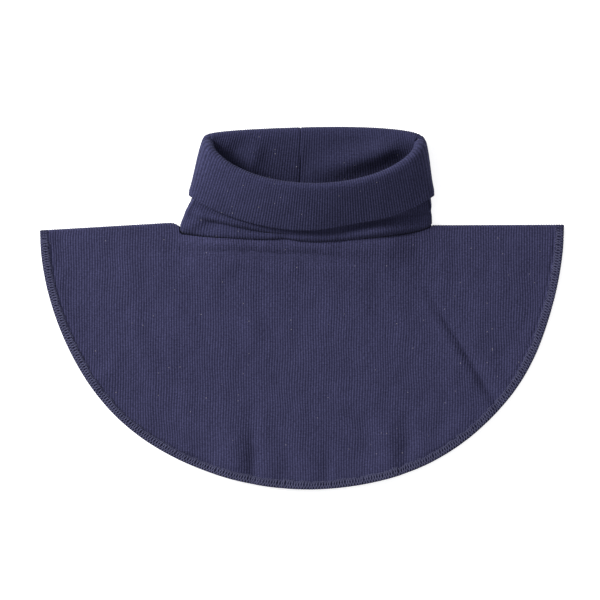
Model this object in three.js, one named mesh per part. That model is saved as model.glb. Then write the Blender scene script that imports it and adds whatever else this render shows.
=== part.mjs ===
// Neck warmer of rib-knit cotton: a round cape folded in half along the shoulders,
// with a two-ply polo collar turned down once. It lies on its back on a flat surface.
// Millimetres. +X runs to the right along the shoulder fold, +Y towards the mouth of
// the collar, +Z up from the surface. The origin is under the middle of its outline.
import * as THREE from 'three';

// Cape
const capeRadius = 165.4;
const capePly = 1.2;
const backInset = { depth: 1.2, fade: 0.3 };
const shoulderY = 51.0;
const leafRestBack = 0.6;
const leafRestFront = 3.2;
const edgeRise = { back: 0.5, front: 0.9, reach: 14 };

// The cape isn't cut quite round: its edge swells at these angles from the right tip.
const edgeSwells = [
  { degrees: 34, height: 2.4, spread: 13 },
  { degrees: 56, height: 5.3, spread: 22 },
  { degrees: 90, height: 1.2, spread: 25 },
  { degrees: 133, height: 3.2, spread: 20 },
];

// Height of the shoulder fold above its mean line, along X.
const shoulderLine = [
  { x: -170, rise: -3.4 },
  { x: -83, rise: 1.7 },
  { x: 82, rise: 0.1 },
  { x: 170, rise: 0.5 },
];
const shoulderFade = 40;

// Neck hole: a slot across the fold, dipping further on the front leaf. Low round powers
// make a corner square, high ones make it slant.
const hole = {
  centreX: 2.5, halfWidth: 79.9, frontDip: 10.6, backDip: 4.6,
  backRound: 0.8, frontRound: { left: 0.25, right: 1.1 },
};
const neckLift = { height: 6.6, reach: 19, endFade: 0.45 };

// Broad folds of the front leaf: middle, half length, half width, turn and height.
const leafFolds = [
  { name: 'seam_ridge', x: -14, y: 37.5, length: 60, width: 3.2, turn: 0, height: 0.9 },
  { name: 'right_crease', x: 106, y: -24, length: 38, width: 5.5, turn: -57, height: -1.0 },
  { name: 'left_hem_valley', x: -33, y: -92, length: 34, width: 7, turn: 90, height: -1.0 },
  { name: 'right_hem_valley', x: 63, y: -88, length: 30, width: 7, turn: 90, height: -1.0 },
  { name: 'left_hem_swell', x: -58, y: -88, length: 30, width: 13, turn: 80, height: 1.4 },
  { name: 'middle_hem_swell', x: 2, y: -92, length: 30, width: 18, turn: 90, height: 1.2 },
  { name: 'right_hem_swell', x: 84, y: -76, length: 26, width: 12, turn: 100, height: 1.2 },
];

// Overlocked edge
const overlock = { width: 5.5, thickness: 1.8, gap: 0.5 };

// Collar: two plies, from the neck seam up to the rim, over it and down again.
const collarWall = 2.2;
const rimRoll = { front: 1.5, side: 3.0, sharpness: 6 };
const cuffGap = { back: 0.7, front: 1.9 };
const cuffBulge = 1.0;
const seamGap = 0.6;
const seamStep = 0.5;
const footSideRise = 0.4;
const footLean = { left: 0.25, right: 0.0, sharpness: 4 };

// Closed loops round the collar. back, side and front are places in Y and heights in Z.
// The round powers shape how fast the loop leaves its sides.
const rimLoop = {
  centreX: 7.5, halfWidth: 66.7, tilt: 0.02,
  backY: 110.8, sideY: 101.4, frontY: 74.4, backZ: 7.0, sideZ: 12, frontZ: 29,
  backRound: { left: 0.35, right: 0.65 }, frontRound: 1.25, heightRound: 0.7,
};
const cuffEdgeLoop = {
  centreX: 6.0, halfWidth: 76.1, tilt: 0.01,
  backY: 79, sideY: 70.6, frontY: 48.6, backZ: 1.25, sideZ: 9, frontZ: 17.5,
  backRound: { left: 0.35, right: 0.35 }, frontRound: 1.8, heightRound: 0.5,
};

// How finely the solids are divided
const foldAngles = [0, 0.004, 0.008, 0.014, 0.03, 0.065, 0.12, 0.2, 0.3];
const frontAngleStep = 0.09;
const backAngleStep = 0.16;
const creaseAngles = { from: 0.44, to: 0.8, step: 0.05 };
const yokeRows = [0, 0.03, 0.07, 0.13, 0.2, 0.27];
const leafRows = [0.273, 0.35, 0.43, 0.53, 0.64, 0.74, 0.83, 0.92, 1];
const collarColumns = 60;
const wallRows = { under: 5, upper: 4, rim: 4, cuff: 5 };

const navy = { cape: 0x3a3b57, yoke: 0x38395a, collar: 0x2c2d49, thread: 0x4a4b68 };

const wave = (value, centre, spread) => Math.exp(-(((value - centre) / spread) ** 2));
const clamp01 = (value) => Math.min(1, Math.max(0, value));
const smooth = (value) => clamp01(value) ** 2 * (3 - 2 * clamp01(value));
const signedPower = (value, power) => Math.sign(value) * Math.abs(value) ** power;

// Value of a table's column at x, eased between its rows.
function along(table, x, column) {
  const last = table.length - 1;
  const next = Math.min(last, Math.max(1, table.findIndex((row) => row.x > x)));
  const low = table[next - 1];
  const high = table[next];
  const t = clamp01((x - low.x) / (high.x - low.x));
  return low[column] + (high[column] - low[column]) * t;
}

function edgeRadius(angle) {
  const degrees = THREE.MathUtils.radToDeg(Math.abs(angle));
  const swell = edgeSwells.reduce((sum, s) => sum + s.height * wave(degrees, s.degrees, s.spread), 0);
  return capeRadius + swell - backInset.depth * smooth(-Math.sin(angle) / backInset.fade);
}

// Raised or sunk height of the broad folds at a place on the front leaf.
function foldHeight(x, y) {
  return leafFolds.reduce((sum, fold) => {
    const turn = THREE.MathUtils.degToRad(fold.turn);
    const alongFold = (x - fold.x) * Math.cos(turn) + (y - fold.y) * Math.sin(turn);
    const across = (y - fold.y) * Math.cos(turn) - (x - fold.x) * Math.sin(turn);
    return sum + fold.height * wave(alongFold, 0, fold.length) * wave(across, 0, fold.width);
  }, 0);
}

// The left or right value of a pair, by the side on which an angle lies.
function sideOf(angle, pair) {
  return Math.cos(angle) < 0 ? pair.left : pair.right;
}

// How far below the shoulder fold the neck hole's edge lies, at an angle round the slot.
function holeDip(angle) {
  const turn = Math.sin(angle);
  if (turn < 0) return hole.backDip * signedPower(turn, hole.backRound);
  return hole.frontDip * turn ** sideOf(angle, hole.frontRound);
}

// How far a place lies inside the ends of the neck hole, from 0 at its ends to 1.
function insideHole(x) {
  return smooth((1.05 - Math.abs((x - hole.centreX) / hole.halfWidth)) / neckLift.endFade);
}

// A place on the cape's middle surface. x runs along the fold, and s is the distance from
// the fold measured on the cloth: above zero on the front leaf, below zero on the back one.
// The front leaf may stand higher by an extra rise.
function capePoint(x, s, extraRise = 0) {
  const depth = Math.abs(s);
  const toEdge = capeRadius - Math.hypot(x, depth);
  const nearEdge = smooth(1 - toEdge / edgeRise.reach);
  const backZ = leafRestBack + edgeRise.back * nearEdge;
  const frontZ = leafRestFront + edgeRise.front * nearEdge + extraRise;
  const turnRadius = (frontZ - backZ) / 2;
  const middleZ = (frontZ + backZ) / 2;
  const turnLength = (turnRadius * Math.PI) / 2;
  const top = shoulderY + along(shoulderLine, x, 'rise') * Math.exp(-depth / shoulderFade);
  if (depth < turnLength) {
    const turn = depth / turnRadius;
    const y = top - turnRadius * (1 - Math.cos(turn));
    return new THREE.Vector3(x, y, middleZ + Math.sign(s) * turnRadius * Math.sin(turn));
  }
  const y = top - turnRadius - (depth - turnLength);
  if (s < 0) return new THREE.Vector3(x, y, backZ);
  const belowSeam = Math.max(0, depth - hole.frontDip);
  const lift = neckLift.height * insideHole(x) * Math.exp(-((belowSeam / neckLift.reach) ** 1.3));
  const settle = smooth((depth - turnLength) / 8);
  return new THREE.Vector3(x, y, frontZ + lift * settle + foldHeight(x, y) * settle);
}

// A closed solid of even thickness round a middle surface, given as columns of points
// that close on each other. Each column runs across the cloth from one end to the other.
function sheetSolid(columns, thickness) {
  const count = columns.length;
  const rows = columns[0].length;
  const vertices = [];
  const indices = [];
  const at = (column, row) => columns[(column + count) % count][row];
  const offsets = columns.map((points, column) => points.map((point, row) => {
    const around = at(column + 1, row).clone().sub(at(column - 1, row));
    const across = at(column, Math.min(rows - 1, row + 1)).clone();
    across.sub(at(column, Math.max(0, row - 1)));
    return around.cross(across).normalize().multiplyScalar(thickness / 2);
  }));
  for (const side of [1, -1]) {
    columns.forEach((points, column) => points.forEach((point, row) => {
      vertices.push(...point.clone().addScaledVector(offsets[column][row], side).toArray());
    }));
  }
  const index = (side, column, row) => side * count * rows + (column % count) * rows + row;
  const quad = (a, b, c, d) => indices.push(a, b, c, a, c, d);
  for (let column = 0; column < count; column += 1) {
    for (let row = 0; row < rows - 1; row += 1) {
      quad(index(0, column, row), index(0, column + 1, row),
        index(0, column + 1, row + 1), index(0, column, row + 1));
      quad(index(1, column, row), index(1, column, row + 1),
        index(1, column + 1, row + 1), index(1, column + 1, row));
    }
    quad(index(0, column, 0), index(1, column, 0), index(1, column + 1, 0), index(0, column + 1, 0));
    quad(index(0, column, rows - 1), index(0, column + 1, rows - 1),
      index(1, column + 1, rows - 1), index(1, column, rows - 1));
  }
  const geometry = new THREE.BufferGeometry();
  geometry.setAttribute('position', new THREE.Float32BufferAttribute(vertices, 3));
  geometry.setIndex(indices);
  geometry.computeVertexNormals();
  return geometry;
}

// Angles round the cape: close together at the two fold ends, wider over the leaves.
function capeAngles() {
  const half = (step, extra) => {
    const middle = [];
    const first = foldAngles[foldAngles.length - 1];
    for (let angle = first + step; angle < Math.PI - first - step / 2; angle += step) {
      middle.push(angle);
    }
    const ends = foldAngles.flatMap((angle) => [angle, Math.PI - angle]);
    return [...new Set([...ends, ...middle, ...extra])].sort((a, b) => a - b);
  };
  const extra = [];
  for (let angle = creaseAngles.from; angle < creaseAngles.to; angle += creaseAngles.step) {
    extra.push(angle);
  }
  const apart = (angles) => angles.filter((a, i) => i === 0 || a - angles[i - 1] > 0.0035);
  const front = apart(half(frontAngleStep, extra));
  const back = apart(half(backAngleStep, [])).slice(1, -1).reverse().map((angle) => -angle);
  return [...front, ...back];
}

// Columns of the cape's middle surface from the neck hole to a distance short of its edge.
function capeColumns(rows, fromEdge, toEdge) {
  return capeAngles().map((angle) => rows.map((row) => {
    const radius = edgeRadius(angle);
    const inner = fromEdge === null
      ? { x: hole.centreX + hole.halfWidth * Math.cos(angle), s: holeDip(angle) }
      : { x: (radius - fromEdge) * Math.cos(angle), s: (radius - fromEdge) * Math.sin(angle) };
    const outer = { x: (radius - toEdge) * Math.cos(angle), s: (radius - toEdge) * Math.sin(angle) };
    return capePoint(inner.x + (outer.x - inner.x) * row, inner.s + (outer.s - inner.s) * row);
  }));
}

// A closed curve cut into even steps, starting at the middle of the back.
function evenLoop(pointAt, count) {
  const fine = Array.from({ length: 1440 }, (_, i) => pointAt(Math.PI / 2 + (i / 1440) * 2 * Math.PI));
  const lengths = [0];
  fine.forEach((point, i) => lengths.push(lengths[i] + point.distanceTo(fine[(i + 1) % fine.length])));
  const total = lengths[fine.length];
  return Array.from({ length: count }, (_, i) => {
    const target = (i / count) * total;
    const next = lengths.findIndex((length) => length > target);
    const t = (target - lengths[next - 1]) / (lengths[next] - lengths[next - 1]);
    return fine[next - 1].clone().lerp(fine[next % fine.length], t);
  });
}

// Loop round the collar from its named places. Below the side points it lies on the back.
function collarLoop(shape) {
  return (angle) => {
    const turn = Math.sin(angle);
    const x = shape.halfWidth * Math.cos(angle);
    const lean = shape.tilt * x;
    if (turn > 0) {
      const flat = turn ** sideOf(angle, shape.backRound);
      const y = shape.sideY + (shape.backY + lean - shape.sideY) * flat;
      return new THREE.Vector3(shape.centreX + x, y, shape.sideZ + (shape.backZ - shape.sideZ) * flat);
    }
    const y = shape.sideY + (shape.frontY - shape.sideY) * (-turn) ** shape.frontRound;
    const rise = (shape.frontZ - shape.sideZ) * (-turn) ** shape.heightRound;
    return new THREE.Vector3(shape.centreX + x, y, shape.sideZ + rise);
  };
}

// The collar's foot follows the neck hole, a little inside it. The front is at negative
// angles here, as on the other loops.
function footPoint(angle) {
  const x = hole.centreX + (hole.halfWidth - collarWall / 2 - seamGap) * Math.cos(angle);
  const dip = holeDip(-angle);
  const s = Math.sign(dip) * Math.max(0, Math.abs(dip) - seamGap);
  const point = capePoint(x, s, footSideRise * (1 - insideHole(x)));
  point.z += seamStep;
  return point;
}

function bezier(a, b, c, d, steps) {
  return new THREE.CubicBezierCurve3(a, b, c, d).getPoints(steps);
}

// Columns of the collar's middle surface: foot, standing wall, rim and turned-down cuff.
function collarColumnsOfPoints() {
  const foot = evenLoop(footPoint, collarColumns);
  const rim = evenLoop(collarLoop(rimLoop), collarColumns);
  const cuffEdge = evenLoop(collarLoop(cuffEdgeLoop), collarColumns);
  return rim.map((centre, i) => {
    const up = centre.clone().sub(cuffEdge[i]).normalize();
    const outwardOf = (loop) => {
      const before = loop[(i + collarColumns - 1) % collarColumns];
      const after = loop[(i + 1) % collarColumns];
      return after.clone().sub(before).cross(up).normalize();
    };
    const outward = outwardOf(rim);
    const edgeOutward = outwardOf(cuffEdge);
    const sideness = Math.abs((centre.x - rimLoop.centreX) / rimLoop.halfWidth) ** rimRoll.sharpness;
    const raised = smooth((centre.z - rimLoop.backZ) / (rimLoop.sideZ - rimLoop.backZ));
    const rimRadius = rimRoll.front + (rimRoll.side - rimRoll.front) * sideness * raised;
    const wallTop = centre.clone().addScaledVector(outward, -rimRadius);
    const cuffTop = centre.clone().addScaledVector(outward, rimRadius);
    const frontness = smooth(cuffEdge[i].z / cuffEdgeLoop.frontZ);
    const standOff = collarWall + cuffGap.back + (cuffGap.front - cuffGap.back) * frontness;
    const underCuff = cuffEdge[i].clone().addScaledVector(edgeOutward, -standOff);
    const footSide = (foot[i].x - hole.centreX) / hole.halfWidth;
    const lean = (footSide < 0 ? footLean.left : footLean.right) * Math.abs(footSide) ** footLean.sharpness;
    const footUp = new THREE.Vector3(-Math.sign(footSide) * lean, 1, 0.3 * frontness);
    const reach = underCuff.distanceTo(foot[i]) * 0.4;
    const lower = bezier(foot[i], foot[i].clone().addScaledVector(footUp, reach),
      underCuff.clone().addScaledVector(up, -reach), underCuff, wallRows.under);
    const span = underCuff.distanceTo(wallTop) / 3;
    const upper = bezier(underCuff, underCuff.clone().addScaledVector(up, span),
      wallTop.clone().addScaledVector(up, -span), wallTop, wallRows.upper);
    const rimPoints = Array.from({ length: wallRows.rim - 1 }, (_, k) => {
      const turn = ((k + 1) / wallRows.rim) * Math.PI;
      return centre.clone()
        .addScaledVector(outward, -rimRadius * Math.cos(turn))
        .addScaledVector(up, rimRadius * Math.sin(turn));
    });
    const drop = cuffTop.distanceTo(cuffEdge[i]) / 3;
    const cuff = bezier(cuffTop, cuffTop.clone().addScaledVector(up, -drop),
      cuffEdge[i].clone().addScaledVector(up, drop).addScaledVector(edgeOutward, cuffBulge * frontness),
      cuffEdge[i], wallRows.cuff);
    return [...lower, ...upper.slice(1), ...rimPoints, ...cuff];
  });
}

function piece(name, geometry, color) {
  const material = new THREE.MeshStandardMaterial({ color, roughness: 0.95, metalness: 0 });
  const mesh = new THREE.Mesh(geometry, material);
  mesh.name = name;
  return mesh;
}

const capeEnd = overlock.width + overlock.gap;
const neckWarmer = new THREE.Group();
neckWarmer.add(
  piece('cape_yoke', sheetSolid(capeColumns(yokeRows, null, capeEnd), capePly), navy.yoke),
  piece('cape', sheetSolid(capeColumns(leafRows, null, capeEnd), capePly), navy.cape),
  piece('edge_overlock', sheetSolid(capeColumns([0, 0.5, 1], overlock.width, 0), overlock.thickness), navy.thread),
  piece('collar', sheetSolid(collarColumnsOfPoints(), collarWall), navy.collar),
);

export default neckWarmer;
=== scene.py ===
import math
import time

import bmesh
import bpy
import numpy as np
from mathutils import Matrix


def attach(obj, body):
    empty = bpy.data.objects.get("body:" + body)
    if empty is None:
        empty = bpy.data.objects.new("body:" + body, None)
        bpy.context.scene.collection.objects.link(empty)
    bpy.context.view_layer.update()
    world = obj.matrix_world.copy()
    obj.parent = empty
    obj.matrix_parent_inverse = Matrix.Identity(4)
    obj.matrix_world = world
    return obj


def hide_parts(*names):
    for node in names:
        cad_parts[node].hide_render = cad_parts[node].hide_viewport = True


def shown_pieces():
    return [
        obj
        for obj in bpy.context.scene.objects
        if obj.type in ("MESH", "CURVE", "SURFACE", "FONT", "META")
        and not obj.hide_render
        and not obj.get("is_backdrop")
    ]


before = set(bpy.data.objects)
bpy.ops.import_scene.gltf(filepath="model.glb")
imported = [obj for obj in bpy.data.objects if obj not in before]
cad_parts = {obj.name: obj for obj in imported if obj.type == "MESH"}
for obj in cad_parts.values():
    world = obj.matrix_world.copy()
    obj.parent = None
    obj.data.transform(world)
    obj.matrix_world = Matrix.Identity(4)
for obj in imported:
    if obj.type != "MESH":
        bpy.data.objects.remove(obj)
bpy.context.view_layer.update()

# Neck warmer of navy rib knit, lying on its back: a round cape folded in half at the
# shoulders, with a two-ply polo collar turned down once. Shapes are worked out in
# millimetres, and go into the meshes in metres. +X right, +Y to the collar's mouth.

startTime = time.time()
mm = 0.001
weldDistance = 1e-7                         # metres, far below a thread's width
tiny = 1e-12                                # keeps a length that is divided by above zero

# The knit, which the cape and the collar share
knit = {
    "pitch": 1.62,                          # one rib
    "depth": 0.34,                          # furrow below rib
    "topBreadth": 0.65,                     # the smaller, the broader the ribs' tops
    "columnsPerRib": 4,
    "course": 1.12,                         # one row of stitches
    "wander": 0.3, "wanderSize": 30.0, "wanderSeed": 5,     # how far ribs stray sideways
    "wanderFade": 6.0, "wanderEdgeFade": 10.0,              # ribs run true near folds and edges
    "unevenness": ((0.22, 34.0, 3, 7), (0.11, 12.0, 4, 7),  # height, size, seed and waves
                   (0.035, 5.0, 6, 12)),
}


def smoothStep(value):
    # 0 below 0, 1 above 1, and 3v^2 - 2v^3 between
    v = np.clip(value, 0, 1)
    return v * v * (3 - 2 * v)


def bell(value, spread):
    # a round bump, 1 in the middle and a third of that at the spread
    return np.exp(-(value / spread) ** 2)


def unit(vectors):
    return vectors / np.maximum(np.linalg.norm(vectors, axis=-1, keepdims=True), tiny)


def softNoise(x, y, size, seed, waves=7):
    # a sum of sine waves in seeded directions, about -1 to 1, with features of that size
    rng = np.random.default_rng(seed)
    turns = rng.uniform(0, 2 * np.pi, waves)
    phases = rng.uniform(0, 2 * np.pi, waves)
    stretches = rng.uniform(0.7, 1.5, waves)
    total = np.zeros(np.broadcast(x, y).shape)
    for turn, phase, stretch in zip(turns, phases, stretches):
        along = x * np.cos(turn) + y * np.sin(turn)
        total = total + np.sin(along * 2 * np.pi / (size * stretch) + phase)
    return total / math.sqrt(waves)


def foldHeight(x, y, folds):
    # each fold is a bell along its line times a bell across it
    total = 0
    for _, midX, midY, length, width, degrees, height in folds:
        turn = math.radians(degrees)
        alongFold = (x - midX) * math.cos(turn) + (y - midY) * math.sin(turn)
        acrossFold = (y - midY) * math.cos(turn) - (x - midX) * math.sin(turn)
        total = total + height * bell(alongFold, length) * bell(acrossFold, width)
    return total


def ribHeight(ribCount):
    # 1 on top of each rib and 0 in the furrow between two, with broad tops
    return (0.5 + 0.5 * np.cos(2 * np.pi * ribCount)) ** knit["topBreadth"]


def gridQuads(index):
    # quads between neighbouring rows and columns of a table of point numbers
    corners = (index[:-1, :-1], index[:-1, 1:], index[1:, 1:], index[1:, :-1])
    return np.stack(corners, -1).reshape(-1, 4)


def meshFrom(name, points, quads, knitMap=None, underStitches=None):
    # a mesh object from millimetre points. knitMap has each corner's place in ribs and
    # courses. Corners that lie on each other are merged
    mesh = bpy.data.meshes.new(name)
    mesh.from_pydata(points.reshape(-1, 3) * mm, [], quads.tolist())
    # underStitches is how far each point lies under the overlock stitches, for their painted shadow
    if underStitches is not None:
        paintedStitchShadow = mesh.attributes.new("underStitches", "FLOAT", "POINT")
        paintedStitchShadow.data.foreach_set("value", underStitches.astype(np.float32))
    if knitMap is not None:
        layer = mesh.uv_layers.new(name="knitMap")
        layer.data.foreach_set("uv", knitMap.reshape(-1).astype(np.float32))
    piece = bpy.data.objects.new(name, mesh)
    bpy.context.scene.collection.objects.link(piece)
    form = bmesh.new()
    form.from_mesh(mesh)
    bmesh.ops.remove_doubles(form, verts=form.verts, dist=weldDistance)
    bmesh.ops.dissolve_degenerate(form, edges=form.edges, dist=weldDistance)
    form.to_mesh(mesh)
    form.free()
    mesh.shade_smooth()
    return piece


# Cape

cape = {
    "radius": 165.4,
    "ply": 1.2,
    "backInset": 1.2, "backInsetFade": 0.3,                 # the back leaf's edge shows nowhere
    "shoulderY": 51.0, "shoulderFade": 40.0,
    "restBack": 0.6, "restFront": 3.2,                      # resting heights of the two leaves
    "riseBack": 0.5, "riseFront": 0.9, "riseReach": 14.0,   # rise towards the thick stitched edge
    "leafGap": 0.1, "gapEase": 0.3,         # between the leaves where a fold is deepest
    "settle": 8.0,                          # the front leaf's folds fade in over this depth
    "clothInset": 0.5,                      # the cloth ends this far inside the stitches
    "stitchBlend": 0.2,                     # the painted shadow under the stitches ends this much sooner
    "foldRows": (0, 0.35, 0.7, 1.05, 1.4, 1.8, 2.3, 3.0, 4.0),
    "foldRowsLength": 12.0,                 # shorter columns squeeze those rows
    "outerRows": {"front": 50, "back": 18}, "innerRows": {"front": 12, "back": 6},
    "edgeSamples": 4000, "slopeStep": 0.05,                 # how finely edge and slope are measured
}
edgeSwells = {"degrees": (34, 56, 90, 133), "height": (2.4, 5.3, 1.2, 3.2), "spread": (13, 22, 25, 20)}
shoulderLine = {"x": (-170, -83, 82, 170), "rise": (-3.4, 1.7, 0.1, 0.5)}
shoulderNotch = {"x": -76.0, "width": 3.4, "depth": 2.6, "fade": 6.0}   # a sag beside the collar
hole = {
    "centreX": 2.5, "halfWidth": 79.9,
    "frontDip": 10.6, "backDip": 4.6,
    "frontRoundLeft": 0.32, "frontRoundRight": 1.1, "backRound": 0.8,
    "pointedEnd": 0.004,                    # narrower than this share, the slot is closed
}
neckLift = {"height": 6.6, "reach": 19.0, "shape": 1.3, "endStart": 1.05, "endFade": 0.45}
seam = {
    "capeTuck": 0.5, "capeTuckReach": 1.3,  # the cape's edge rolls down into the neck seam
    "swingX": (-11.0, 8.0), "swingWidth": (7.5, 14.0), "swingRise": (1.2, -1.0),
    "needleInset": 6.7, "needleWidth": 0.8, "needleDepth": 0.35, "needleFade": 12.0,
}

# Folds of the front leaf: middle, half length, half width, turn in degrees and height
leafFolds = (
    ("seamRidge", -12, 37.6, 56, 2.7, -1.5, 1.4),
    ("seamHollow", -28, 32.0, 62, 3.0, -3, -1.5),
    ("rightRidge", 97.6, -28.4, 32, 3.4, -57, 0.9),
    ("rightCrease", 101.2, -26.2, 34, 2.0, -58, -1.5),
    ("rightCreaseFoot", 116, -51, 17, 4.6, -56, -2.4),
    ("rightTail", 105.5, -26.0, 36, 4.0, -57, -0.4),
    ("rightFootSwell", 113, -48, 22, 15, -57, 1.4),
    ("leftHemValley", -30.5, -98, 22, 4.0, 91, -1.2),
    ("leftHemSwell", -45, -95, 20, 10.5, 87, 2.7),
    ("leftHemLip", -21, -102, 12, 7.0, 90, 0.9),
    ("middleHemValley", 16, -104, 13, 4.0, 88, -0.9),
    ("middleHemSwell", 2, -92, 26, 12, 90, 0.8),
    ("rightHemValley", 66, -90, 20, 4.6, 87, -1.0),
    ("rightHemLip", 77, -88, 12, 6.0, 97, 0.7),
    ("rightHemSwell", 54, -92, 19, 9.5, 90, 2.0),
    ("hemRippleLeft", -124, -44, 12, 7, 40, 0.8),
    ("hemRippleRight", 100, -70, 12, 7, 125, 0.7),
)


def insideHole(x):
    # 1 along the neck hole, easing to 0 at its ends
    fromMiddle = np.abs((x - hole["centreX"]) / hole["halfWidth"])
    return smoothStep((neckLift["endStart"] - fromMiddle) / neckLift["endFade"])


def frontLeafRise(x, y, depth):
    # how far the front leaf leaves its resting height: lifted at the neck, folded, a little
    # uneven, and tucked in at the seam
    belowSeam = np.maximum(0, depth - hole["frontDip"])
    near = insideHole(x)
    lift = neckLift["height"] * near * np.exp(-(belowSeam / neckLift["reach"]) ** neckLift["shape"])
    tuck = seam["capeTuck"] * near * np.exp(-(belowSeam / seam["capeTuckReach"]) ** 2)
    uneven = sum(height * softNoise(x, depth, size, seed, waves)
                 for height, size, seed, waves in knit["unevenness"])
    return lift + foldHeight(x, y, leafFolds) + uneven - tuck


def capePoint(x, s, extraRise=0.0):
    # middle surface of the cape. s is the distance from the shoulder fold along the cloth,
    # above zero in front: a half circle round the fold, then two leaves
    depth = np.abs(s)
    nearEdge = smoothStep(1 - (cape["radius"] - np.hypot(x, depth)) / cape["riseReach"])
    backZ = cape["restBack"] + cape["riseBack"] * nearEdge
    frontZ = cape["restFront"] + cape["riseFront"] * nearEdge + extraRise
    turnRadius = (frontZ - backZ) / 2
    turnLength = turnRadius * np.pi / 2
    rise = np.interp(x, shoulderLine["x"], shoulderLine["rise"])
    sag = shoulderNotch["depth"] * bell(x - shoulderNotch["x"], shoulderNotch["width"])
    top = cape["shoulderY"] + rise * np.exp(-depth / cape["shoulderFade"])
    top = top - sag * np.exp(-depth / shoulderNotch["fade"])
    turn = np.minimum(depth / turnRadius, np.pi / 2)
    y = top - turnRadius * (1 - np.cos(turn)) - np.maximum(depth - turnLength, 0)
    z = (frontZ + backZ) / 2 + np.sign(s) * turnRadius * np.sin(turn)
    inFront = smoothStep((depth - turnLength) / cape["settle"]) * (s > 0)
    z = z + frontLeafRise(x, y, depth) * inFront
    # where a fold would reach the back leaf, the gap eases to zero instead
    gap = z - backZ - cape["ply"] - cape["leafGap"]
    eased = (gap + np.hypot(gap, cape["gapEase"])) / 2
    z = z + (eased - gap) * inFront
    return np.stack([x + 0 * y, y, z], -1)


def holeShape(across, front):
    # depth of the neck hole from its ends at -1 and 1, as a share of its full depth
    left = hole["frontRoundLeft"] if front else hole["backRound"]
    right = hole["frontRoundRight"] if front else hole["backRound"]
    chord = np.sqrt(np.clip(1 - across ** 2, 0, 1))
    return np.where(chord < hole["pointedEnd"], 0, chord ** np.where(across < 0, left, right))


def frontDip(x, share):
    # depth of the hole's front edge below the fold, where the neck seam isn't quite even
    dip = hole["frontDip"] * share
    for middle, width, rise in zip(seam["swingX"], seam["swingWidth"], seam["swingRise"]):
        dip = dip - rise * bell(x - middle, width)
    return dip


def edgeRadius(angle, back):
    # the cape's edge swells out a little in places, and the back leaf ends a little sooner
    radius = cape["radius"]
    for middle, height, spread in zip(*edgeSwells.values()):
        radius = radius + height * bell(np.degrees(angle) - middle, spread)
    return radius - back * cape["backInset"] * smoothStep(np.sin(angle) / cape["backInsetFade"])


def leafEdge(x, back):
    # depth of the cloth's edge below each place on the fold
    angle = np.linspace(np.pi, 0, cape["edgeSamples"] + 1)
    radius = edgeRadius(angle, back) - cape["clothInset"]
    return np.interp(x, radius * np.cos(angle), radius * np.sin(angle))


def capeColumns():
    # columns at even parts of a rib, with one at each shoulder tip and each end of the hole
    spacing = knit["pitch"] / knit["columnsPerRib"]
    last = edgeRadius(0.0, False) - cape["clothInset"]
    first = cape["clothInset"] - edgeRadius(np.pi, False)
    even = np.arange(math.ceil(first / spacing) + 1, math.floor(last / spacing)) * spacing
    x = np.concatenate([[first], even, [last]])
    for end in (hole["centreX"] - hole["halfWidth"], hole["centreX"] + hole["halfWidth"]):
        x[np.abs(x - end).argmin()] = end
    return x


def capeRowDepths(start, end, flatRows):
    # depths below the fold for each row and column: close together near the fold or the
    # seam, then even down to the edge
    length = end - start
    near = np.array(cape["foldRows"])[:, None] * np.minimum(1, length / cape["foldRowsLength"])
    far = near[-1] + (length - near[-1]) * np.linspace(0, 1, flatRows + 1)[1:, None]
    return start + np.concatenate([near, far])


def capeSurface(x, s, side, ribs, toEdge):
    # the middle surface moved out or in along its normal, with ribs and the groove of the
    # needle line on the outside
    step = cape["slopeStep"]
    middle = capePoint(x, s)
    alongX = capePoint(x + step, s) - capePoint(x - step, s)
    alongS = capePoint(x, s + step) - capePoint(x, s - step)
    normal = unit(np.cross(alongS, alongX))
    half = cape["ply"] / 2
    if side < 0:
        return middle - normal * half
    fromNeedle = toEdge - seam["needleInset"] + cape["clothInset"]
    groove = seam["needleDepth"] * bell(fromNeedle, seam["needleWidth"])
    groove = groove * smoothStep(np.abs(s) / seam["needleFade"])
    offset = half - knit["depth"] * (1 - ribs) - groove
    return middle + normal * offset[..., None]


def ribWander(x, depth, start, sign, toEdge):
    # how far the cloth's points are moved sideways, so that the ribs aren't ruled lines
    calm = smoothStep(toEdge / knit["wanderEdgeFade"])
    calm = calm * smoothStep((depth - start) / knit["wanderFade"])
    calm = calm * smoothStep(depth / knit["wanderFade"])
    return knit["wander"] * softNoise(x, sign * depth, knit["wanderSize"], knit["wanderSeed"]) * calm


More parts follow.
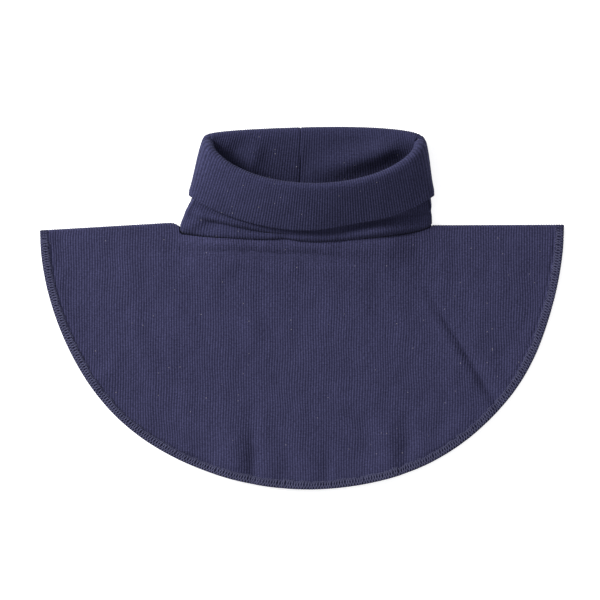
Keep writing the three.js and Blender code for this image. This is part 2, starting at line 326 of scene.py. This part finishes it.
def buildCape():
    x = capeColumns()
    across = np.clip((x - hole["centreX"]) / hole["halfWidth"], -1, 1)
    frontSlot, backSlot = holeShape(across, True), holeShape(across, False)
    frontEnd, backEnd = leafEdge(x, False), leafEdge(x, True)
    frontEnd[[0, -1]] = 0
    backEnd[[0, -1]] = 0
    leaves = (("front", frontDip(x, frontSlot), frontEnd, 1),
              ("back", hole["backDip"] * backSlot, backEnd, -1))

    points, places, paintedStitchShadow, blocks, count = [], [], [], {}, 0
    for leaf, start, end, sign in leaves:
        for side, rows in ((1, cape["outerRows"][leaf]), (-1, cape["innerRows"][leaf])):
            depth = capeRowDepths(start, end, rows)
            placeX = np.broadcast_to(x, depth.shape)
            reach = edgeRadius(np.arctan2(depth, placeX), sign < 0) - cape["clothInset"]
            toEdge = reach - np.hypot(placeX, depth)
            moved = placeX + ribWander(placeX, depth, start, sign, toEdge)
            ribs = ribHeight(placeX / knit["pitch"])
            points.append(capeSurface(moved, sign * depth, side, ribs, toEdge).reshape(-1, 3))
            # how far each point lies under the overlock stitches, for their painted shadow
            paintedStitchShadow.append(smoothStep(overlock["width"] - toEdge - cape["stitchBlend"]).reshape(-1))
            place = np.stack([placeX / knit["pitch"], sign * depth / knit["course"]], -1)
            places.append(place.reshape(-1, 2))
            blocks[leaf, side] = count + np.arange(depth.size).reshape(depth.shape)
            count += depth.size

    quads = []
    for (leaf, side), index in blocks.items():
        face = gridQuads(index)
        quads.append(face if (leaf == "front") == (side < 0) else face[:, ::-1])
    slot = np.minimum(frontSlot, backSlot)
    inSlot = slot[:-1] + slot[1:] > 0
    for leaf in ("front", "back"):
        outer, inner = blocks[leaf, 1], blocks[leaf, -1]
        hem = gridQuads(np.stack([outer[-1], inner[-1]]))
        lip = gridQuads(np.stack([inner[0], outer[0]]))[inSlot]
        for strip in (hem, lip):
            quads.append(strip if leaf == "back" else strip[:, ::-1])
    quads = np.concatenate(quads)
    return meshFrom("cape_cloth", np.concatenate(points), quads, np.concatenate(places)[quads],
                    np.concatenate(paintedStitchShadow))


# Collar

collar = {
    "wall": 2.2,                            # two plies
    "ribs": 194,
    "rollBack": 1.5, "rollFront": 2.1, "rollSide": 3.0, "rollSharpness": 6,  # the rim's fold
    "leanLeft": 0.25, "leanRight": 0.0, "leanSharpness": 4, "leanFront": 0.3,
    "footReach": 0.4,                       # how far the foot's direction carries up the wall
    "gapBack": 0.7, "gapFront": 1.9,        # between the wall and the turn-down
    "bulge": 1.0,
    "edgeLift": 2.0, "edgeLiftX": 32.0, "edgeLiftSpread": 18.0,  # the turn-down's edge rides up here
    "seamGap": 0.6, "seamStep": 0.5, "footSideRise": 0.4, "footDrop": 1.3,
    "backSeamX": -1.0, "backSeamWidth": 0.45, "backSeamDepth": 0.5, "backSeamStart": 0.2,
    "footFade": 0.7, "turnDownFade": 0.6,   # how the wall's folds fade at its two ends
    "mouthFade": 3.0, "rimFadeRows": 3,
    "underRows": 16, "upperRows": 10, "rimRows": 8, "cuffRows": 12, "edgeRows": 6,
    "loopSamples": 7200, "acrossColumns": 4, "slopeColumns": 2,
    "closingLength": 2.0,                   # the knit map's length under the foot
}
rimLoop = {
    "centreX": 7.5, "halfWidth": 66.7, "tilt": 0.02,
    "backY": 110.8, "sideY": 101.4, "frontY": 74.4,
    "backZ": 7.0, "sideZ": 12, "frontZ": 29,
    "backRoundLeft": 0.35, "backRoundRight": 0.65, "frontRound": 1.25, "heightRound": 0.7,
}
cuffEdgeLoop = {
    "centreX": 6.0, "halfWidth": 76.1, "tilt": 0.01,
    "backY": 79, "sideY": 70.6, "frontY": 48.6,
    "backZ": 1.25, "sideZ": 9, "frontZ": 17.5,
    "backRoundLeft": 0.35, "backRoundRight": 0.35, "frontRound": 1.8, "heightRound": 0.5,
}

# Rolls and creases of the wall below the turn-down, in the same terms as the leaf's folds
wallFolds = (
    ("leftRoll", -45.5, 54.6, 21, 2.3, -13, 3.2),
    ("leftShadow", -54, 61.0, 8, 2.2, -20, -3.0),
    ("leftCrease", -41, 50.3, 22, 1.7, -12, -1.8),
    ("leftHollow", -57.0, 51.8, 6, 2.6, -10, -2.0),
    ("leftFoot", -70, 51.0, 8, 4.0, 30, 1.8),
    ("middleRoll", -6, 44.2, 40, 2.0, -2, 1.8),
    ("middleCrease", -18, 46.6, 14, 0.8, -4, -1.0),
    ("rightHollow", 56, 56.0, 26, 2.6, 10.5, -3.0),
    ("rightRoll", 50, 47.8, 24, 2.0, 7, 3.0),
)

# Folds of the back wall's inner face, seen in the mouth
mouthFolds = (
    ("topSwell", 6, 98, 44, 12, 0, 1.2),
    ("rightBulge", 40, 95.0, 27, 6.8, 18, 6.2),
    ("cornerBulge", 54, 101, 10, 6, 35, 2.2),
    ("leftBulge", -30, 94, 18, 5, 72, 1.4),
    ("leftDip", -44, 96, 14, 4.5, 60, -1.2),
    ("middleDip", 2, 88, 14, 4, 80, -0.8),
)


def holeDip(angle):
    # the neck hole's edge as a distance from the fold, below zero at the back
    turn = np.sin(angle)
    across = np.cos(angle)
    front = frontDip(hole["centreX"] + hole["halfWidth"] * across, holeShape(across, True))
    back = -hole["backDip"] * holeShape(across, False)
    return np.where(turn < 0, back, front)


def loopPoints(shape, angle):
    # a closed loop: a flattened back half on the surface and a raised front half
    turn = np.sin(angle)
    x = shape["halfWidth"] * np.cos(angle)
    flat = np.maximum(turn, 0) ** np.where(x < 0, shape["backRoundLeft"], shape["backRoundRight"])
    backY = shape["sideY"] + (shape["backY"] + shape["tilt"] * x - shape["sideY"]) * flat
    backZ = shape["sideZ"] + (shape["backZ"] - shape["sideZ"]) * flat
    front = np.maximum(-turn, 0)
    frontY = shape["sideY"] + (shape["frontY"] - shape["sideY"]) * front ** shape["frontRound"]
    frontZ = shape["sideZ"] + (shape["frontZ"] - shape["sideZ"]) * front ** shape["heightRound"]
    y = np.where(turn > 0, backY, frontY)
    z = np.where(turn > 0, backZ, frontZ)
    return np.stack([shape["centreX"] + x, y, z], -1)


def footHalfWidth():
    return hole["halfWidth"] - collar["wall"] / 2 - collar["seamGap"]


def footAngle(angle):
    # the place on the foot straight below a place on the turn-down's edge, easing to the
    # ends of the hole at its sides, so that the ribs run straight
    across = np.cos(angle)
    half = footHalfWidth()
    edgeX = cuffEdgeLoop["centreX"] + cuffEdgeLoop["halfWidth"] * across
    rightSlack = hole["centreX"] + half - cuffEdgeLoop["centreX"] - cuffEdgeLoop["halfWidth"]
    leftSlack = hole["centreX"] - half - cuffEdgeLoop["centreX"] + cuffEdgeLoop["halfWidth"]
    eased = edgeX + np.where(across > 0, rightSlack, leftSlack) * across ** 4
    footAcross = np.clip((eased - hole["centreX"]) / half, -1, 1)
    return np.arctan2(np.sign(np.sin(angle)) * np.sqrt(1 - footAcross ** 2), footAcross)


def footPoints(angle):
    # the collar's foot follows the neck hole, a little inside it
    x = hole["centreX"] + footHalfWidth() * np.cos(angle)
    dip = holeDip(-angle)
    s = np.sign(dip) * np.maximum(0, np.abs(dip) - collar["seamGap"])
    points = capePoint(x, s, collar["footSideRise"] * (1 - insideHole(x)))
    points[..., 2] += collar["seamStep"]
    return points


def footUpward(foot, frontness):
    # the way the cloth leaves the foot: up, leaning inwards at the sides and back in front
    side = (foot[:, :1] - hole["centreX"]) / hole["halfWidth"]
    lean = np.where(side < 0, collar["leanLeft"], collar["leanRight"])
    lean = lean * np.abs(side) ** collar["leanSharpness"]
    return np.concatenate([-np.sign(side) * lean, 0 * side + 1, collar["leanFront"] * frontness], 1)


def evenAngles(pointsAt, count):
    # angles that cut a loop into even steps, starting at the middle of the back
    angle = np.pi / 2 + np.linspace(0, 2 * np.pi, collar["loopSamples"] + 1)
    steps = np.linalg.norm(np.diff(pointsAt(angle), axis=0), axis=1)
    length = np.concatenate([[0], np.cumsum(steps)])
    return np.interp(np.arange(count) / count * length[-1], length, angle)


def bezierRows(a, b, c, d, rows):
    # cubic curves between whole loops, as rows + 1 loops
    t = np.linspace(0, 1, rows + 1)[:, None, None]
    return (1 - t) ** 3 * a + 3 * (1 - t) ** 2 * t * b + 3 * (1 - t) * t ** 2 * c + t ** 3 * d


def distance(start, end):
    return np.linalg.norm(end - start, axis=1, keepdims=True)


def outwardOf(loop, up):
    step = collar["acrossColumns"]
    return unit(np.cross(np.roll(loop, -step, 0) - np.roll(loop, step, 0), up))


def wallNormal(middle):
    step = collar["slopeColumns"]
    around = np.roll(middle, -step, 1) - np.roll(middle, step, 1)
    return unit(np.cross(around, np.gradient(middle, axis=0)))


def collarMiddle(angle):
    # rows of the collar's middle surface, up the standing wall from the foot, over the rim
    # and down the turn-down, and how far each column belongs to the raised front
    foot = footPoints(footAngle(angle))
    rim = loopPoints(rimLoop, angle)
    cuffEdge = loopPoints(cuffEdgeLoop, angle)
    lifted = collar["edgeLift"] * bell(cuffEdge[:, 0] - collar["edgeLiftX"], collar["edgeLiftSpread"])
    cuffEdge[:, 1] += lifted * (np.sin(angle) < 0)
    up = unit(rim - cuffEdge)
    outward = outwardOf(rim, up)
    edgeOutward = outwardOf(cuffEdge, up)

    sideness = np.abs(np.cos(angle)) ** collar["rollSharpness"]
    raised = smoothStep((rim[:, 2] - rimLoop["backZ"]) / (rimLoop["sideZ"] - rimLoop["backZ"]))
    roll = collar["rollBack"] + (collar["rollFront"] - collar["rollBack"]) * raised
    radius = (roll + (collar["rollSide"] - roll) * sideness * raised)[:, None]
    wallTop = rim - outward * radius
    cuffTop = rim + outward * radius

    frontness = smoothStep(cuffEdge[:, 2:] / cuffEdgeLoop["frontZ"])
    gap = collar["gapBack"] + (collar["gapFront"] - collar["gapBack"]) * frontness
    underCuff = cuffEdge - edgeOutward * (collar["wall"] + gap)
    reach = distance(foot, underCuff) * collar["footReach"]
    lower = bezierRows(foot, foot + footUpward(foot, frontness) * reach,
                       underCuff - up * reach, underCuff, collar["underRows"])
    span = distance(underCuff, wallTop) / 3
    upper = bezierRows(underCuff, underCuff + up * span, wallTop - up * span, wallTop,
                       collar["upperRows"])
    turn = np.linspace(0, np.pi, collar["rimRows"] + 1)[1:-1, None, None]
    bend = rim - outward * radius * np.cos(turn) + up * radius * np.sin(turn)
    drop = distance(cuffTop, cuffEdge) / 3
    bulged = cuffEdge + up * drop + edgeOutward * collar["bulge"] * frontness
    cuff = bezierRows(cuffTop, cuffTop - up * drop, bulged, cuffEdge, collar["cuffRows"])
    return np.concatenate([lower, upper[1:], bend, cuff]), frontness[:, 0]


def foldedWall(middle, frontness):
    # the standing wall rolls and creases at the front, fading in from the foot and out
    # where it goes up under the turn-down
    low = collar["underRows"] + 1
    upWall = np.linspace(0, 1, low)[:, None]
    fade = np.sin(upWall ** collar["footFade"] * np.pi) ** collar["turnDownFade"]
    lower = middle[:low]
    push = foldHeight(lower[..., 0], lower[..., 1], wallFolds) * fade * frontness
    folded = middle.copy()
    folded[:low] = lower + wallNormal(middle)[:low] * push[..., None]
    folded[0, :, 2] -= collar["footDrop"] * frontness
    return folded


def mouthSwell(middle, frontness, wallRows):
    # the mouth's folds show on the back wall only, and fade towards the rim
    swell = foldHeight(middle[..., 0], middle[..., 1], mouthFolds)
    swell = swell * (1 - smoothStep(frontness * collar["mouthFade"]))
    belowRim = wallRows - 1 - np.arange(len(middle))
    return swell * smoothStep(belowRim / collar["rimFadeRows"])[:, None]


def closedBothWays(ring):
    # point numbers of a table of points, with its first row and column again at the end
    index = np.arange(ring[..., 0].size).reshape(ring.shape[:2])
    index = np.concatenate([index, index[:1]])
    return np.concatenate([index, index[:, :1]], 1)


def buildCollar():
    # the collar, and the course of its knit map at which the inner face ends
    columns = collar["ribs"] * knit["columnsPerRib"]
    angle = evenAngles(lambda turn: loopPoints(cuffEdgeLoop, turn), columns)
    middle, frontness = collarMiddle(angle)
    middle = foldedWall(middle, frontness)
    normal = wallNormal(middle)
    ribs = ribHeight(np.arange(columns) / knit["columnsPerRib"])
    backSeam = collar["backSeamDepth"] * bell(middle[..., 0] - collar["backSeamX"], collar["backSeamWidth"])
    backSeam = backSeam * (np.sin(angle) > collar["backSeamStart"])
    offset = (collar["wall"] / 2 - knit["depth"] * (1 - ribs) - backSeam)[..., None]
    wallRows = collar["underRows"] + 1 + collar["upperRows"]
    inside = middle - normal * (offset + mouthSwell(middle, frontness, wallRows)[..., None])
    outside = middle + normal * offset
    turn = np.linspace(0, np.pi, collar["edgeRows"] + 2)[1:-1, None, None]
    endward = unit(middle[-1] - middle[-2])
    edge = middle[-1] + offset[-1] * (endward * np.sin(turn) - normal[-1] * np.cos(turn))
    ring = np.concatenate([inside, edge, outside[::-1]])

    steps = np.linalg.norm(np.diff(ring, axis=0), axis=-1).mean(1)
    length = np.concatenate([[0], np.cumsum(steps)])
    courses = np.append(length, length[-1] + collar["closingLength"]) / knit["course"]
    ribNumber = np.arange(columns + 1) / knit["columnsPerRib"]
    places = np.stack(np.meshgrid(ribNumber, courses), -1)
    placeNumber = np.arange(places[..., 0].size).reshape(places.shape[:2])
    knitMap = places.reshape(-1, 2)[gridQuads(placeNumber)]
    piece = meshFrom("collar_cloth", ring, gridQuads(closedBothWays(ring)), knitMap)
    return piece, courses[wallRows - 1]


# Overlocked edge

overlock = {
    "pitch": 1.75,                          # one stitch
    "width": 5.9,
    "strand": 0.25, "flatten": 0.65,        # a thread's radius, and its height as a share of that
    "sides": 5, "stepsPerTurn": 14, "placesPerTurn": 40,
    "clearance": 0.12,                      # between the cloth and the middle of a thread
    "tipSink": 0.5, "tipReach": 0.04,       # the stitches bite into the fold at both shoulder tips
    "uneven": 0.07, "seed": 11,             # how much stitches differ in width and place
    "bow": 0.9,                             # 1 spreads a stitch's points evenly over its width
    "threads": ((1.3, 0.0), (-0.9, 0.35)),  # each thread's lean along the edge and phase
    "leanBow": 1.5, "leanMiddle": 0.3,
    "insetStep": 0.02, "angleStep": 1e-4,   # for the slope of the cloth below them
}


def edgePlace(angle, inset):
    # x and s of a place at a distance inside the edge, over the front from the right tip and
    # back along the back leaf
    back = angle > np.pi
    half = np.where(back, 2 * np.pi - angle, angle)
    radius = edgeRadius(half, back) - inset
    return radius * np.cos(angle), radius * np.sin(angle)


def edgeLine(count):
    # angles of even places along the whole edge of the cape, and the edge's length
    angle = np.linspace(0, 2 * np.pi, 2 * cape["edgeSamples"] + 1)
    x, s = edgePlace(angle, 0.0)
    length = np.concatenate([[0], np.cumsum(np.hypot(np.diff(x), np.diff(s)))])
    return np.interp(np.arange(count) / count * length[-1], length, angle), length[-1]


def edgeCloth(angle, inset):
    # the cape's middle surface near its edge
    return capePoint(*edgePlace(angle, inset))


def edgeNormal(angle, inset):
    turn, step = overlock["angleStep"], overlock["insetStep"]
    forward = edgeCloth(angle + turn, inset) - edgeCloth(angle - turn, inset)
    inward = edgeCloth(angle, inset + step) - edgeCloth(angle, inset - step)
    return unit(np.cross(unit(inward), unit(forward)))


def whipPath(stitches, lean, phase):
    # a thread wound round the edge once a stitch: over the top from the needle line to the
    # edge, round it, and back underneath. It leans forward or back along the edge
    steps = overlock["stepsPerTurn"]
    turn = (np.arange(stitches * steps) + 0.5) / steps + phase
    cycle = turn % 1.0
    out = np.where(cycle < 0.5, cycle * 2, 2 - cycle * 2)       # 0 at the needle line, 1 at the edge
    side = np.where(cycle < 0.5, 1, -1)
    rng = np.random.default_rng(overlock["seed"])
    number = np.floor(turn).astype(int) % stitches
    wide = 1 + overlock["uneven"] * rng.normal(size=stitches)[number]
    astray = overlock["uneven"] * rng.normal(size=stitches)[number]
    inset = overlock["width"] * wide * (1 - out) ** overlock["bow"]
    leaning = lean * (out ** overlock["leanBow"] - overlock["leanMiddle"])
    along = (turn - cycle / 2 + leaning + astray) * overlock["pitch"]

    places = stitches * overlock["placesPerTurn"]
    angleAt, total = edgeLine(places)
    angle = np.interp((along / total * places) % places, np.arange(places + 1),
                      np.append(angleAt, 2 * np.pi))
    inset = np.maximum(inset, overlock["strand"])
    sink = overlock["tipSink"] * bell(np.sin(angle), overlock["tipReach"])
    lift = cape["ply"] / 2 + overlock["clearance"] - sink
    roundEdge = np.sqrt(1 - (1 - np.minimum(inset / cape["ply"], 1)) ** 2)
    path = edgeCloth(angle, inset) + edgeNormal(angle, inset) * (side * lift * roundEdge)[:, None]
    path[:, 2] = np.maximum(path[:, 2], overlock["strand"] * overlock["flatten"])   # on the floor
    return path


def closedTube(path):
    # a thread round a closed path: rings of points on the path's own sideways and upward axes
    nearlyUp = [0.03, 0.05, 1.0]            # no stretch of thread runs this way
    ahead = unit(np.roll(path, -1, 0) - np.roll(path, 1, 0))
    aside = unit(np.cross(ahead, nearlyUp))
    above = np.cross(aside, ahead)
    turn = (np.arange(overlock["sides"]) / overlock["sides"] * 2 * np.pi)[:, None]
    outline = aside[:, None] * np.cos(turn) + overlock["flatten"] * above[:, None] * np.sin(turn)
    rings = path[:, None] + overlock["strand"] * outline
    return rings.reshape(-1, 3), gridQuads(closedBothWays(rings).T)


def buildOverlock():
    total = edgeLine(1)[1]
    stitches = int(total / overlock["pitch"])
    points, quads, count = [], [], 0
    for lean, phase in overlock["threads"]:
        tube, faces = closedTube(whipPath(stitches, lean, phase))
        points.append(tube)
        quads.append(faces + count)
        count += len(tube)
    return meshFrom("edge_stitches", np.concatenate(points), np.concatenate(quads))


# Materials

def srgb(r, g, b):
    # a colour as seen on screen, 0 to 255, as the linear values that shaders take
    linear = [((c / 255 + 0.055) / 1.055) ** 2.4 if c > 10 else c / 255 / 12.92 for c in (r, g, b)]
    return (*linear, 1.0)


knitLook = {
    "ribTop": 0.12,                         # half width of the rib's top with painted highlight, in ribs
    "legSlant": 1.6, "legContrast": 0.4,
    "yarnScale": 1.1, "yarnContrast": 2.6, "yarnBase": -0.25,
    "patchScale": 110.0, "patchContrast": 0.36, "patchBase": 0.82,
    "innerFade": 5,                         # courses over which the inner face's painted shade ends
    "stitchShadow": 0.42,                   # painted shadow for the gaps between stitches
    "fluff": srgb(150, 145, 155),
    "fluffScale": 300.0, "fluffShare": 0.14, "fluffSize": 0.085, "fluffStrength": 0.8,
    "fuzzScale": 1500.0, "legBump": 0.6, "bumpStrength": 0.5, "bumpDepth": 0.0002,
}
# peak is the rib tops' colour with painted highlight, furrow the furrows' colour with painted shade
capeLook = {"peak": srgb(65, 65, 96), "furrow": srgb(43, 43, 67)}
# the collar's inner face is darkened by painted shade
collarLook = {"peak": srgb(59, 60, 90), "furrow": srgb(40, 40, 63), "innerPaintedShade": 0.8}
threadLook = {
    "light": srgb(106, 107, 138), "dark": srgb(58, 58, 87),
    "plyScale": 2200.0, "patchScale": 60.0, "bumpStrength": 0.4, "bumpDepth": 0.0001,
}


def node(tree, kind, inputs=None, **settings):
    # one shader node with its settings and its plain or linked inputs
    made = tree.nodes.new(kind)
    for key, value in settings.items():
        setattr(made, key, value)
    for key, value in (inputs or {}).items():
        socket = made.inputs[key]
        if isinstance(value, bpy.types.NodeSocket):
            tree.links.new(value, socket)
        else:
            socket.default_value = value
    return made


def calculate(tree, operation, *values):
    return node(tree, "ShaderNodeMath", dict(enumerate(values)), operation=operation).outputs[0]


def noise(tree, place, scale, **inputs):
    return node(tree, "ShaderNodeTexNoise", {"Vector": place, "Scale": scale, **inputs}).outputs[0]


def ramp(tree, value, start, end, low, high):
    return node(tree, "ShaderNodeMapRange", {"Value": value, 1: start, 2: end, 3: low, 4: high},
                interpolation_type="SMOOTHSTEP").outputs[0]


def mixColour(tree, share, low, high):
    return node(tree, "ShaderNodeMix", {0: share, 6: low, 7: high}, data_type="RGBA").outputs[2]


def bumped(tree, strength, depth, height):
    inputs = {"Strength": strength, "Distance": depth, "Height": height}
    return node(tree, "ShaderNodeBump", inputs).outputs[0]


def newMaterial(name):
    material = bpy.data.materials.new(name)
    material.use_nodes = True
    material.node_tree.nodes.clear()
    return material, material.node_tree


def finishSurface(tree, inputs):
    surface = node(tree, "ShaderNodeBsdfPrincipled", inputs)
    node(tree, "ShaderNodeOutputMaterial", {"Surface": surface.outputs[0]})


def knitMaterial(name, look, innerCourses=0.0):
    # rib knit: painted shade in the furrows and between the slanting stitch legs, painted highlight on the
    # rib tops and legs, uneven yarn and pale fluff. The first courses of a piece can be the inner face,
    # darkened by painted shade
    material, tree = newMaterial(name)
    place = node(tree, "ShaderNodeTexCoord").outputs["Object"]
    knitPlace = node(tree, "ShaderNodeUVMap", uv_map="knitMap").outputs[0]
    parts = node(tree, "ShaderNodeSeparateXYZ", {0: knitPlace})
    ribs, courses = parts.outputs[0], parts.outputs[1]
    # painted highlight on the rib tops and stitch legs, painted shade in the furrows and between the legs
    fromPeak = calculate(tree, "PINGPONG", calculate(tree, "FRACT", ribs), 0.5)
    ribTop = ramp(tree, fromPeak, 0.5, knitLook["ribTop"], 0.0, 1.0)
    legs = calculate(tree, "MULTIPLY_ADD", fromPeak, knitLook["legSlant"], courses)
    wave = calculate(tree, "SINE", calculate(tree, "MULTIPLY", legs, 2 * math.pi))
    stitch = calculate(tree, "MULTIPLY_ADD", wave, 0.5, 0.5)
    lit = calculate(tree, "MULTIPLY_ADD", stitch, knitLook["legContrast"], 1 - knitLook["legContrast"])
    base = mixColour(tree, calculate(tree, "MULTIPLY", ribTop, lit), look["furrow"], look["peak"])

    yarn = noise(tree, knitPlace, knitLook["yarnScale"], Detail=4.0, Roughness=0.75)
    yarn = calculate(tree, "MULTIPLY_ADD", yarn, knitLook["yarnContrast"], knitLook["yarnBase"])
    patch = noise(tree, place, knitLook["patchScale"], Detail=3.0)
    patch = calculate(tree, "MULTIPLY_ADD", patch, knitLook["patchContrast"], knitLook["patchBase"])
    # painted shade on the inner face of the collar, seen in the mouth
    inner = ramp(tree, courses, innerCourses - knitLook["innerFade"], innerCourses,
                 look.get("innerPaintedShade", 1.0), 1.0)
    # painted shadow on the cloth under the overlock stitches
    paintedStitchShadow = node(tree, "ShaderNodeAttribute", attribute_name="underStitches").outputs["Fac"]
    paintedStitchShadow = calculate(tree, "MULTIPLY_ADD", paintedStitchShadow, -knitLook["stitchShadow"], 1.0)
    gain = calculate(tree, "MULTIPLY", calculate(tree, "MULTIPLY", yarn, patch),
                     calculate(tree, "MULTIPLY", inner, paintedStitchShadow))
    tinted = node(tree, "ShaderNodeVectorMath", {0: base, "Scale": gain}, operation="SCALE")

    specks = node(tree, "ShaderNodeTexVoronoi",
                  {"Vector": place, "Scale": knitLook["fluffScale"], "Randomness": 1.0})
    chance = node(tree, "ShaderNodeSeparateColor", {0: specks.outputs["Color"]}).outputs[0]
    picked = calculate(tree, "GREATER_THAN", chance, 1 - knitLook["fluffShare"])
    near = calculate(tree, "LESS_THAN", specks.outputs["Distance"], knitLook["fluffSize"])
    fluff = calculate(tree, "MULTIPLY", calculate(tree, "MULTIPLY", picked, near),
                      knitLook["fluffStrength"])
    colour = mixColour(tree, fluff, tinted.outputs[0], knitLook["fluff"])

    fuzz = noise(tree, place, knitLook["fuzzScale"], Detail=2.0)
    height = calculate(tree, "MULTIPLY_ADD", stitch, knitLook["legBump"], fuzz)
    finishSurface(tree, {
        "Base Color": colour, "Roughness": 0.95,
        "Normal": bumped(tree, knitLook["bumpStrength"], knitLook["bumpDepth"], height),
        "Sheen Weight": 0.02, "Sheen Roughness": 0.6, "Specular IOR Level": 0.04})
    return material


def threadMaterial(name):
    # overlocking thread: fine uneven plies, slightly paler than the knit
    material, tree = newMaterial(name)
    place = node(tree, "ShaderNodeTexCoord").outputs["Object"]
    plies = noise(tree, place, threadLook["plyScale"], Detail=2.0)
    patch = noise(tree, place, threadLook["patchScale"])
    amount = calculate(tree, "MULTIPLY", calculate(tree, "ADD", plies, patch), 0.5)
    finishSurface(tree, {
        "Base Color": mixColour(tree, amount, threadLook["dark"], threadLook["light"]),
        "Roughness": 0.8,
        "Normal": bumped(tree, threadLook["bumpStrength"], threadLook["bumpDepth"], plies),
        "Sheen Weight": 0.02, "Sheen Roughness": 0.5, "Specular IOR Level": 0.05})
    return material


# Floor, light and camera

studio = {
    "floorSize": 6.0,
    "floorDark": (0.88, 0.88, 0.88, 1), "floorPale": (0.9, 0.9, 0.9, 1), "floorGrain": 40.0,
    "floorGlow": 0.7,                       # for the photo's plain white ground
    "keyPower": 56.0, "keySize": 0.7, "keyPlace": (-1.6, 0.75, 1.05),
    "fillPower": 2.0, "fillSize": 2.0, "fillPlace": (1.1, -0.5, 1.5),
    "skyStrength": 0.41,
    "cameraHeight": 3.0, "sensor": 36.0, "farthest": 50,
    "millimetresPerPixel": 0.63, "imagePixels": 600,
    "imageCentre": (-1.26, 4.41),           # millimetres from the origin
}


def linked(name, data, place):
    holder = bpy.data.objects.new(name, data)
    holder.location = place
    bpy.context.scene.collection.objects.link(holder)
    return holder


def areaLight(name, power, size, place):
    # a square light that looks at the origin
    lamp = bpy.data.lights.new(name, "AREA")
    lamp.energy = power
    lamp.size = size
    away = unit(np.array(place))
    linked(name, lamp, place).rotation_euler = (0, math.acos(away[2]), math.atan2(away[1], away[0]))


def buildFloor():
    half = studio["floorSize"] / 2
    corners = np.array([[-half, -half, 0], [half, -half, 0], [half, half, 0], [-half, half, 0]]) / mm
    floor = meshFrom("floor", corners, np.array([[0, 1, 2, 3]]))
    material, tree = newMaterial("pale_floor")
    grain = node(tree, "ShaderNodeTexNoise", {"Scale": studio["floorGrain"]}).outputs[0]
    finishSurface(tree, {
        "Base Color": mixColour(tree, grain, studio["floorDark"], studio["floorPale"]),
        "Roughness": 0.9, "Specular IOR Level": 0.1,
        "Emission Color": (1, 1, 1, 1), "Emission Strength": studio["floorGlow"]})
    floor.data.materials.append(material)
    floor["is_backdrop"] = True


def buildLights():
    areaLight("key_light", studio["keyPower"], studio["keySize"], studio["keyPlace"])
    areaLight("fill_light", studio["fillPower"], studio["fillSize"], studio["fillPlace"])
    world = bpy.data.worlds.new("studio")
    world.use_nodes = True
    sky = world.node_tree.nodes["Background"]
    sky.inputs[0].default_value = (1, 1, 1, 1)
    sky.inputs[1].default_value = studio["skyStrength"]
    bpy.context.scene.world = world


def buildCamera():
    # the photo's view, straight down
    camera = bpy.data.cameras.new("camera")
    camera.sensor_width = studio["sensor"]
    field = studio["millimetresPerPixel"] * studio["imagePixels"] * mm
    camera.lens = studio["sensor"] * studio["cameraHeight"] / field
    camera.clip_end = studio["farthest"]
    centreX, centreY = studio["imageCentre"]
    place = (centreX * mm, centreY * mm, studio["cameraHeight"])
    bpy.context.scene.camera = linked("camera", camera, place)
    bpy.context.scene.view_settings.view_transform = "Standard"


print("studio")
buildFloor()
buildLights()
buildCamera()

print("cape")
capeCloth = buildCape()
capeCloth.data.materials.append(knitMaterial("cape_rib_knit", capeLook))

print("collar")
collarCloth, innerCourses = buildCollar()
collarCloth.data.materials.append(knitMaterial("collar_rib_knit", collarLook, innerCourses))

print("overlocked edge")
edgeStitches = buildOverlock()
edgeStitches.data.materials.append(threadMaterial("edge_thread_navy"))

for piece, nodeName, slotName in ((capeCloth, "cape", "cape_rib"), (collarCloth, "collar", "collar_rib"),
                                  (edgeStitches, "edge_overlock", "edge_thread")):
    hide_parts(nodeName)
    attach(piece, "root")
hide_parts("cape_yoke")

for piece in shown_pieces():
    triangles = sum(len(face.vertices) - 2 for face in piece.data.polygons)
    print(piece.name, len(piece.data.vertices), "points", triangles, "triangles")
print("made in", round(time.time() - startTime, 1), "seconds")
